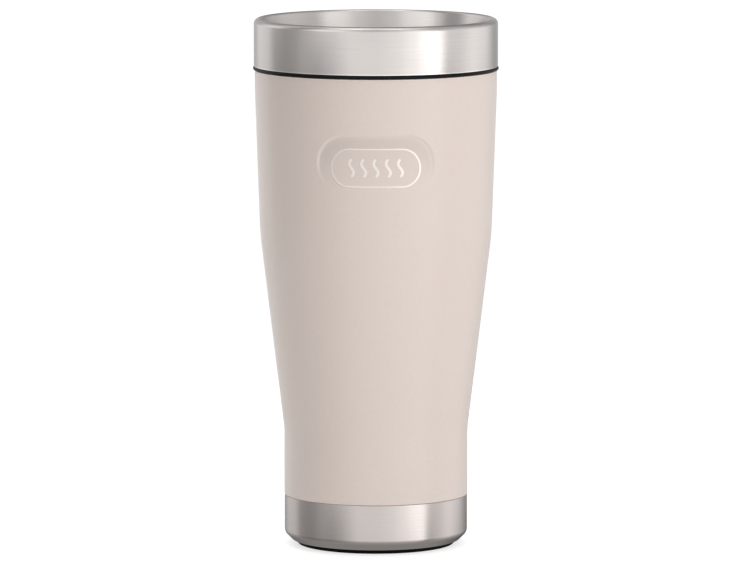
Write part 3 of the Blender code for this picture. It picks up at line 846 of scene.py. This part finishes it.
# ---------------------------------------------------------------- foot, band and flask
def build_foot(band_look, rubber):
    corners = [
        (0.0, BAND_FOOT),
        (BAND_FOOT_RADIUS, BAND_FOOT, BAND_FOOT_ROUND),
        (BAND_RADIUS, BAND_CHAMFER_TOP, BAND_CHAMFER_ROUND),
        (BAND_RADIUS, BAND_TOP + BAND_RISE, BAND_TOP_ROUND),
        (BAND_RADIUS - SHEET, BAND_TOP + BAND_RISE),
        (BAND_RADIUS - SHEET, BAND_CHAMFER_TOP),
        (BAND_FOOT_RADIUS - SHEET / 2, BAND_FOOT + SHEET),
        (0.0, BAND_FOOT + SHEET),
    ]
    place(turned("steel_band", corners, closed=False), "mug", band_look, "brushed_steel", "base_band")

    corners = [(0.0, 0.0)]
    for radius in PAD_GROOVES:
        corners += [
            (radius, 0.0),
            (radius + PAD_GROOVE_WIDTH / 4, PAD_GROOVE_DEPTH),
            (radius + PAD_GROOVE_WIDTH * 3 / 4, PAD_GROOVE_DEPTH),
            (radius + PAD_GROOVE_WIDTH, 0.0),
        ]
    corners += [
        (PAD_RADIUS, 0.0, PAD_ROUND),
        (PAD_TOP_RADIUS, PAD_TOP, PAD_TOP_ROUND),
        (0.0, PAD_TOP),
    ]
    place(turned("rubber_foot", corners, closed=False), "mug", rubber, "foot_rubber", "foot_pad")


def build_flask(look):
    wall = [(wall_radius(z) - WALL_SPACE, z) for z in (TAPER_BOTTOM, TAPER_TOP)]
    inner = [
        (0.0, LINER_FLOOR),
        (wall[0][0], LINER_FLOOR, LINER_FLOOR_FILLET),
        (*wall[0], LINER_LOW_BEND),
        (*wall[1], LINER_HIGH_BEND),
        (NECK_RADIUS, NECK_TOP, NECK_ROUND),
        (MOUTH_RADIUS, MOUTH_BOTTOM, NECK_ROUND),
        (MOUTH_RADIUS, MOUTH_TOP, LINER_LIP_ROUND),
    ]
    outer = [
        (MOUTH_RADIUS + SHEET, MOUTH_TOP, LINER_LIP_ROUND),
        (MOUTH_RADIUS + SHEET, MOUTH_BOTTOM - SHEET / 2),
        (NECK_RADIUS + SHEET, NECK_TOP - SHEET / 2),
        *[(r + SHEET, z) for r, z in reversed(wall)],
        (wall[0][0] + SHEET, LINER_FLOOR - SHEET, LINER_FLOOR_FILLET + SHEET),
        (0.0, LINER_FLOOR - SHEET),
    ]
    flask = turned("steel_flask", inner + outer, closed=False)
    ridges = thread_ridges("flask_thread", LINER_THREAD_START, MOUTH_RADIUS, LINER_THREAD_CREST)
    combined(flask, ridges, "UNION")
    place(flask, "mug", look, "liner_steel", "inner_liner")


# ---------------------------------------------------------------- lid
def port_cutters(low, high):
    port = prism("port_cut", stadium(PORT_HALF_WIDTH, PORT_HALF_DEPTH, PORT_Y), low, high)
    vent = prism("vent_cut", circle(VENT_RADIUS, VENT_Y), low, high)
    return port, vent


def build_lid_shell(look, seal_look):
    skirt_inner = SKIRT_RADIUS - SKIRT_WALL
    shoulder = DECK_BOTTOM - GAP
    upstand_outer = COLLAR_RADIUS - SHEET - GAP
    corners = [
        (0.0, SKIRT_BOTTOM),
        (SKIRT_FOOT_RADIUS, SKIRT_BOTTOM, SKIRT_FOOT_ROUND),
        (SKIRT_FOOT_RADIUS, SEAL_BOTTOM - GAP),
        (SEAL_GROOVE_RADIUS, SEAL_BOTTOM - GAP),
        (SEAL_GROOVE_RADIUS, SEAL_TOP + GAP),
        (SKIRT_RADIUS, SEAL_TOP + GAP, SKIRT_STEP_ROUND),
        (SKIRT_RADIUS, FLANGE_BOTTOM),
        (FLANGE_RADIUS, FLANGE_BOTTOM, FLANGE_ROUND),
        (FLANGE_RADIUS, FLANGE_TOP, FLANGE_ROUND),
        (upstand_outer, FLANGE_TOP),
        (upstand_outer, UPSTAND_TOP),
        (RIM_INNER_RADIUS + SHEET + GAP, UPSTAND_TOP),
        (COLLAR_FOOT_RADIUS + SHEET + GAP, DECK_TOP),
        (COLLAR_FOOT_RADIUS, DECK_TOP),
        (COLLAR_FOOT_RADIUS, shoulder),
        (skirt_inner, shoulder),
        (skirt_inner, SKIRT_BOTTOM + SKIRT_WALL, SKIRT_FLOOR_FILLET),
        (0.0, SKIRT_BOTTOM + SKIRT_WALL),
    ]
    lid = turned("lid_shell", corners, closed=False)
    ridges = thread_ridges("lid_thread", LID_THREAD_START, SKIRT_RADIUS, LID_THREAD_CREST)
    combined(lid, ridges, "UNION")
    column_foot = SKIRT_BOTTOM + SKIRT_WALL - GAP
    outline = stadium(PORT_HALF_WIDTH + PORT_WALL, PORT_HALF_DEPTH + PORT_WALL, PORT_Y)
    combined(lid, prism("port_column", outline, column_foot, shoulder), "UNION")
    vent = prism("vent_column", circle(VENT_RADIUS + PORT_WALL, VENT_Y), column_foot, shoulder - GAP / 3)
    combined(lid, vent, "UNION")
    for cut in port_cutters(SKIRT_BOTTOM - GAP, shoulder + GAP):
        combined(lid, cut, "DIFFERENCE")
    place(lid, "lid", look, "lid_plastic", "lid_body")

    inner = SEAL_GROOVE_RADIUS + GAP
    middle = (SEAL_BOTTOM + SEAL_TOP) / 2
    corners = [
        (inner, SEAL_BOTTOM, SEAL_ROUND),
        (SEAL_RADIUS - SEAL_CHAMFER, SEAL_BOTTOM, SEAL_ROUND),
        (SEAL_RADIUS, SEAL_BOTTOM + SEAL_CHAMFER, SEAL_ROUND),
        (SEAL_RADIUS - SEAL_WAIST, middle),
        (SEAL_RADIUS, SEAL_TOP - SEAL_WAIST, SEAL_ROUND),
        (SEAL_RADIUS - SEAL_WAIST, SEAL_TOP),
        (inner, SEAL_TOP, SEAL_ROUND),
    ]
    place(turned("seal_ring", corners), "seal", seal_look, "silicone", "lid_seal")


def build_collar(look):
    corners = [
        (COLLAR_RADIUS, COLLAR_BOTTOM, COLLAR_EDGE_ROUND),
        (COLLAR_RADIUS, RIM_TOP, RIM_ROUND),
        (RIM_INNER_RADIUS, RIM_TOP, RIM_INNER_ROUND),
        (COLLAR_FOOT_RADIUS, COLLAR_FOOT),
        (COLLAR_FOOT_RADIUS + SHEET, COLLAR_FOOT),
        (RIM_INNER_RADIUS + SHEET, RIM_TOP - RIM_INNER_ROUND),
        (RIM_INNER_RADIUS + SHEET, RIM_TOP - SHEET),
        (COLLAR_RADIUS - RIM_ROUND, RIM_TOP - SHEET),
        (COLLAR_RADIUS - SHEET, RIM_TOP - RIM_ROUND),
        (COLLAR_RADIUS - SHEET, COLLAR_BOTTOM),
    ]
    place(turned("steel_collar", corners), "lid", look, "brushed_steel", "lid_collar")


def build_deck(look):
    """Plate with a drain groove and a shallow dished field, the port, rails and a stop."""
    corners = [
        (0.0, DECK_BOTTOM),
        (DECK_RADIUS, DECK_BOTTOM),
        (DECK_RADIUS, DECK_TOP, DECK_EDGE_ROUND),
        (GROOVE_RADIUS + GROOVE_HALF, DECK_TOP, GROOVE_EDGE_ROUND),
        (GROOVE_RADIUS + GROOVE_HALF / 2, DECK_TOP - GROOVE_DEPTH, GROOVE_FLOOR_ROUND),
        (GROOVE_RADIUS - GROOVE_HALF / 2, DECK_TOP - GROOVE_DEPTH, GROOVE_FLOOR_ROUND),
        (GROOVE_RADIUS - GROOVE_HALF, DECK_TOP, GROOVE_EDGE_ROUND),
        (FIELD_EDGE, DECK_TOP, FIELD_BEND),
        (FIELD_RADIUS, DECK_TOP - FIELD_DEPTH, FIELD_BEND),
        (0.0, DECK_TOP - FIELD_DEPTH),
    ]
    deck = turned("deck_plate", corners, closed=False)
    for cut in port_cutters(DECK_BOTTOM - GAP, DECK_TOP + GAP):
        combined(deck, cut, "DIFFERENCE")
    softened(deck, CUT_BEVEL, 2)
    for side, name in ((1, "right"), (-1, "left")):
        section = [
            (side * RAIL_INNER, DECK_TOP - GAP),
            (side * RAIL_OUTER, DECK_TOP - GAP),
            (side * RAIL_OUTER, RAIL_TOP),
            (side * RAIL_LIP_INNER, RAIL_TOP),
            (side * RAIL_LIP_INNER, RAIL_LIP_BOTTOM),
            (side * RAIL_INNER, RAIL_LIP_BOTTOM),
        ]
        rail = softened(bar(f"rail_{name}", section, "Y", RAIL_FRONT, RAIL_REAR), RAIL_BEVEL, 4)
        combined(deck, rail, "UNION")
    stop_end = RAIL_OUTER - GAP
    outline = box_outline(-stop_end, stop_end, RAIL_REAR - STOP_DEPTH, RAIL_REAR - GAP)
    stop = softened(prism("rail_stop", outline, DECK_TOP - GAP, RUNNER_TOP), CUT_BEVEL)
    combined(deck, stop, "UNION")
    flat_faces_first(deck)
    place(deck, "lid", look, "deck_plastic", "lid_deck")


# ---------------------------------------------------------------- slider
def slider_outline(half_width, steps=24):
    """Straight sides, a square rear with round corners, and a front concentric with the collar."""
    spread_angle = math.asin(half_width / SLIDER_FRONT_RADIUS)
    points = []
    for step in range(steps + 1):
        angle = spread_angle * (2 * step / steps - 1)
        points.append((SLIDER_FRONT_RADIUS * math.sin(angle), -SLIDER_FRONT_RADIUS * math.cos(angle)))
    front = points[0][1]
    rear = box_outline(-half_width, half_width, front, SLIDER_REAR, SLIDER_CORNER)
    return points + [point for point in rear if point[1] > front + 2 * SLIDER_CORNER]


def build_slider(plastic, silicone):
    runner = prism("slide_cover", slider_outline(RUNNER_HALF_WIDTH), RUNNER_BOTTOM, RUNNER_TOP)
    slider = softened(runner, RUNNER_BEVEL)
    raised = prism("raised", slider_outline(SLIDER_HALF_WIDTH), RUNNER_TOP - GAP, SLIDER_TOP)
    combined(slider, softened(raised, COVER_BEVEL, 4), "UNION")
    section = [
        (TAB_FRONT - TAB_SLOPE, SLIDER_TOP - GAP),
        (TAB_REAR + TAB_SLOPE, SLIDER_TOP - GAP),
        (TAB_REAR, TAB_TOP),
        (TAB_FRONT, TAB_TOP),
    ]
    tab = softened(bar("tab", section, "X", -TAB_HALF_WIDTH, TAB_HALF_WIDTH), TAB_BEVEL, 5)
    combined(slider, tab, "UNION")
    low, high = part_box("slider_seal")
    outline = box_outline(low.x - GAP, high.x + GAP, low.y - GAP, high.y + GAP, PORT_PAD_CORNER)
    pocket = prism("pocket", outline, RUNNER_BOTTOM - GAP, high.z + GAP)
    combined(slider, pocket, "DIFFERENCE")
    flat_faces_first(slider)
    place(slider, "slider", plastic, "slider_plastic", "slider")

    outline = box_outline(low.x, high.x, low.y, high.y, PORT_PAD_CORNER)
    pad = softened(prism("port_pad", outline, low.z, high.z), PORT_PAD_BEVEL)
    place(flat_faces_first(pad), "slider", silicone, "silicone", "slider_seal")


def build_grip(look):
    """Ribbed thumb pad: a rounded plate whose top rises and falls in soft ribs."""
    low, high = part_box("slider_grip")
    length, width = high.y - low.y, high.x - low.x
    across, along = round(width / GRIP_CELL), round(length / GRIP_CELL)
    rim, plate, ribs = GRIP_LEVELS
    bm = bmesh.new()
    grid = []
    for j in range(along + 1):
        y = low.y + length * j / along
        inset = max(0.0, GRIP_CORNER - min(y - low.y, high.y - y))
        squeeze = GRIP_CORNER - math.sqrt(max(0.0, GRIP_CORNER**2 - inset**2))
        row = []
        for i in range(across + 1):
            x = (low.x + squeeze) + (width - 2 * squeeze) * i / across
            edge = min(x - low.x - squeeze, high.x - squeeze - x, y - low.y, high.y - y)
            rise = ramp(edge / GRIP_EDGE)
            rib = 0.5 - 0.5 * math.cos(TAU * GRIP_RIBS * (y - low.y) / length)
            z = low.z + (high.z - low.z) * (rim + rise * (plate + ribs * rib))
            row.append((bm.verts.new((x, y, z)), bm.verts.new((x, y, low.z))))
        grid.append(row)
    for near, far in zip(grid, grid[1:]):
        for i in range(across):
            bm.faces.new((near[i][0], near[i + 1][0], far[i + 1][0], far[i][0]))
            bm.faces.new((near[i][1], far[i][1], far[i + 1][1], near[i + 1][1]))
    for row in (grid[0], grid[-1]):
        for a, b in zip(row, row[1:]):
            bm.faces.new((a[0], b[0], b[1], a[1]))
    for column in (0, across):
        for near, far in zip(grid, grid[1:]):
            a, b = near[column], far[column]
            bm.faces.new((a[0], b[0], b[1], a[1]))
    place(link("thumb_grip", bm), "slider", look, "grip_rubber", "slider_grip")


# ---------------------------------------------------------------- studio
CAMERA_DISTANCE = 2.300
CAMERA_HEIGHT = 0.3580
CAMERA_SIDE = -0.0003
CAMERA_AIM = Vector((CAMERA_SIDE, 0.0, 0.0909))
CAMERA_LENS = 321.95
FLOOR_RADIUS = 0.45
FLOOR_ALBEDO = 0.50
FLOOR_GLOW = 0.67
BACKDROP_BRIGHTNESS = 1.05

# The studio, as rings of brightness round the mug. Each ring is (angle in degrees, brightness).
# SOFT_RING lights the mug. Its glossy surfaces mirror FOOT_RING near the floor, LOW_RING at the
# horizon and HIGH_RING above it.
SOFT_RING = [
    (-180, 0.60), (-171, 0.90), (-161, 5.40), (-146, 5.40), (-137, 1.20), (-118, 0.84),
    (-104, 0.34), (-86, 0.35), (-70, 0.48), (-45, 0.80), (-20, 1.18), (0, 1.19),
    (20, 1.30), (36, 1.68), (44, 3.55), (59, 3.55), (66, 0.90), (86, 0.68),
    (104, 0.94), (125, 0.94), (146, 0.80), (152, 2.20), (162, 2.20), (169, 0.60),
    (180, 0.60),
]
FOOT_RING = [
    (-180, 0.26), (-160, 0.33), (-143, 0.62), (-124, 0.68), (-108, 0.33), (-88, 0.29),
    (-72, 0.38), (-58, 0.31), (-46, 0.45), (-36, 0.75), (-22, 1.10), (0, 1.16),
    (20, 1.25), (34, 1.39), (42, 1.30), (50, 1.39), (56, 1.62), (62, 1.94),
    (68, 0.46), (76, 0.52), (84, 0.79), (97, 1.02), (107, 1.12), (117, 0.92),
    (125, 0.72), (140, 0.50), (160, 0.14), (180, 0.22),
]
LOW_RING = [
    (-180, 0.53), (-160, 0.46), (-140, 0.86), (-124, 0.83), (-109, 0.40), (-97, 0.40),
    (-84, 0.50), (-74, 0.62), (-64, 0.59), (-54, 0.57), (-44, 0.74), (-20, 1.17),
    (0, 1.19), (20, 1.28), (36, 1.55), (46, 2.22), (64, 2.38), (72, 1.20),
    (86, 1.06), (104, 1.31), (121, 1.21), (150, 0.47), (180, 0.53),
]
HIGH_RING = [
    (-180, 0.42), (-150, 0.47), (-124, 0.95), (-112, 1.05), (-92, 0.44), (-80, 0.44),
    (-69, 0.86), (-56, 1.42), (-36, 1.28), (-18, 0.89), (0, 0.76), (17, 0.90),
    (36, 1.21), (48, 1.27), (66, 0.65), (92, 0.81), (106, 0.78), (125, 0.61),
    (150, 0.37), (180, 0.42),
]

# how those change with the sine of the angle above the horizon
SOFT_HEIGHTS = [
    (-1.0, 0.25), (-0.6, 0.35), (-0.14, 1.0), (0.08, 1.0), (0.35, 0.74), (0.6, 0.60),
    (0.86, 0.64), (0.96, 1.10), (1.0, 1.15),
]
GLOSS_HEIGHTS = [
    (-1.0, 0.45), (-0.6, 0.50), (-0.14, 1.0), (0.35, 1.0), (0.55, 0.72), (0.84, 0.72),
    (0.95, 1.56), (1.0, 1.62),
]
NADIR_BRIGHTNESS = 0.52  # what is mirrored straight below, equally bright all round
NADIR_FULL = -0.80
NADIR_FROM = -0.34
FOOT_RING_FULL = -0.20
LOW_RING_FULL = -0.07
HIGH_RING_FROM = 0.0
HIGH_RING_FULL = 0.12


def build_camera():
    data = bpy.data.cameras.new("camera")
    data.lens = CAMERA_LENS
    data.sensor_width = 36.0
    data.clip_end = 20.0
    camera = bpy.data.objects.new("camera", data)
    camera.location = (CAMERA_SIDE, -CAMERA_DISTANCE, CAMERA_HEIGHT)
    camera.rotation_euler = (CAMERA_AIM - camera.location).to_track_quat("-Z", "Y").to_euler()
    bpy.context.scene.collection.objects.link(camera)
    bpy.context.scene.camera = camera


def brightness_ramp(tree, source, stops):
    """Brightness along a value from 0 to 1. A colour ramp holds no more than 1, so it is scaled."""
    brightest = max(value for position, value in stops)
    ramp_node = node(tree, "ShaderNodeValToRGB")
    ramp_node.color_ramp.interpolation = "EASE"
    elements = ramp_node.color_ramp.elements
    elements.remove(elements[-1])
    for i, (position, value) in enumerate(stops):
        element = elements[0] if i == 0 else elements.new(position)
        element.position = position
        element.color = (*[value / brightest] * 3, 1.0)
    tree.links.new(source, ramp_node.inputs["Fac"])
    scaled = node(tree, "ShaderNodeVectorMath", operation="SCALE")
    scaled.inputs["Scale"].default_value = brightest
    tree.links.new(ramp_node.outputs["Color"], scaled.inputs[0])
    return scaled.outputs[0]


def ring_ramp(tree, turn, stops):
    return brightness_ramp(tree, turn, [((degrees + 180) / 360, value) for degrees, value in stops])


def height_ramp(tree, lift, stops):
    return brightness_ramp(tree, lift, [((sine + 1) / 2, value) for sine, value in stops])


def product(tree, first, second):
    made = node(tree, "ShaderNodeVectorMath", operation="MULTIPLY")
    tree.links.new(first, made.inputs[0])
    tree.links.new(second, made.inputs[1])
    return made.outputs[0]


def blend(tree, share, first, second):
    made = node(tree, "ShaderNodeMix", data_type="VECTOR")
    tree.links.new(share, made.inputs["Factor"])
    tree.links.new(first, made.inputs["A"])
    tree.links.new(second, made.inputs["B"])
    return made.outputs["Result"]


def mixed(tree, share, first, second):
    made = node(tree, "ShaderNodeMixShader")
    for source, socket in zip((share, first, second), made.inputs):
        tree.links.new(source, socket)
    return made.outputs[0]


def background(tree, colour=None, strength=1.0):
    made = node(tree, "ShaderNodeBackground")
    made.inputs["Strength"].default_value = strength
    if colour is None:
        made.inputs["Color"].default_value = (1.0, 1.0, 1.0, 1.0)
    else:
        tree.links.new(colour, made.inputs["Color"])
    return made.outputs[0]


def build_world():
    """White backdrop for the camera; for the mug, rings of soft panels and flags."""
    world = bpy.data.worlds.new("studio")
    world.use_nodes = True
    tree = world.node_tree
    tree.nodes.clear()
    place_node = node(tree, "ShaderNodeTexCoord")
    split = node(tree, "ShaderNodeSeparateXYZ")
    tree.links.new(place_node.outputs["Generated"], split.inputs[0])
    backward = node(tree, "ShaderNodeMath", operation="MULTIPLY")
    backward.inputs[1].default_value = -1.0
    tree.links.new(split.outputs["Y"], backward.inputs[0])
    angle = node(tree, "ShaderNodeMath", operation="ARCTAN2")
    tree.links.new(split.outputs["X"], angle.inputs[0])
    tree.links.new(backward.outputs[0], angle.inputs[1])
    turn = spread(tree, angle.outputs[0], 0.0, 1.0, start=-math.pi, end=math.pi)
    lift = spread(tree, split.outputs["Z"], 0.0, 1.0, start=-1.0, end=1.0)

    soft = product(tree, ring_ramp(tree, turn, SOFT_RING), height_ramp(tree, lift, SOFT_HEIGHTS))
    lower = spread(tree, split.outputs["Z"], 0.0, 1.0, start=FOOT_RING_FULL, end=LOW_RING_FULL)
    upper = spread(tree, split.outputs["Z"], 0.0, 1.0, start=HIGH_RING_FROM, end=HIGH_RING_FULL)
    rings = blend(tree, lower, ring_ramp(tree, turn, FOOT_RING), ring_ramp(tree, turn, LOW_RING))
    rings = blend(tree, upper, rings, ring_ramp(tree, turn, HIGH_RING))
    gloss = product(tree, rings, height_ramp(tree, lift, GLOSS_HEIGHTS))
    nadir = node(tree, "ShaderNodeCombineXYZ")
    for axis in nadir.inputs:
        axis.default_value = NADIR_BRIGHTNESS
    aside = spread(tree, split.outputs["Z"], 0.0, 1.0, start=NADIR_FULL, end=NADIR_FROM)
    gloss = blend(tree, aside, nadir.outputs[0], gloss)

    ray = node(tree, "ShaderNodeLightPath").outputs
    room = mixed(tree, ray["Is Glossy Ray"], background(tree, soft), background(tree, gloss))
    backdrop = background(tree, strength=BACKDROP_BRIGHTNESS)
    output = node(tree, "ShaderNodeOutputWorld")
    tree.links.new(mixed(tree, ray["Is Camera Ray"], room, backdrop), output.inputs["Surface"])
    bpy.context.scene.world = world


def hidden_from_below(tree, shader):
    """Lets a view from below see through to the foot."""
    side = node(tree, "ShaderNodeNewGeometry")
    clear = node(tree, "ShaderNodeBsdfTransparent")
    shown = mixed(tree, side.outputs["Backfacing"], shader.outputs[0], clear.outputs[0])
    tree.links.new(shown, tree.nodes["Material Output"].inputs["Surface"])


def build_floor():
    bm = bmesh.new()
    bmesh.ops.create_circle(bm, cap_ends=True, segments=128, radius=FLOOR_RADIUS)
    floor = link("floor", bm)
    floor.location.z = -SEAM
    made, tree, shader = principled("floor_white", (FLOOR_ALBEDO,) * 3, 0.6, specular=0.2)
    shader.inputs["Emission Color"].default_value = (1.0, 1.0, 1.0, 1.0)
    shader.inputs["Emission Strength"].default_value = FLOOR_GLOW
    hidden_from_below(tree, shader)
    floor.data.materials.append(made)
    floor.visible_glossy = False


def main():
    scene = bpy.context.scene
    scene.view_settings.view_transform = "Standard"
    scene.view_settings.look = "None"
    build_camera()
    build_world()
    build_floor()

    metals = {name: brushed_steel(name, *look) for name, look in METALS.items()}
    plastics = {name: moulded(name, *look) for name, look in PLASTICS.items()}
    build_coat(powder_coat())
    build_badge(inlay_metal())
    build_foot(metals["band_steel"], plastics["foot_rubber"])
    build_flask(metals["flask_steel"])
    build_lid_shell(plastics["lid_black"], plastics["silicone"])
    build_collar(metals["brushed_steel"])
    build_deck(plastics["deck_black"])
    build_slider(plastics["slider_black"], plastics["silicone"])
    build_grip(plastics["grip_rubber"])
    dress("bottom_plate", metals["flask_steel"])
    dress("getter", metals["flask_steel"])
    dress("copper_foil", metals["copper"])
    dress("vacuum_plug", fused_glass())
    dress("lid_insulation", beaded_foam())


main()
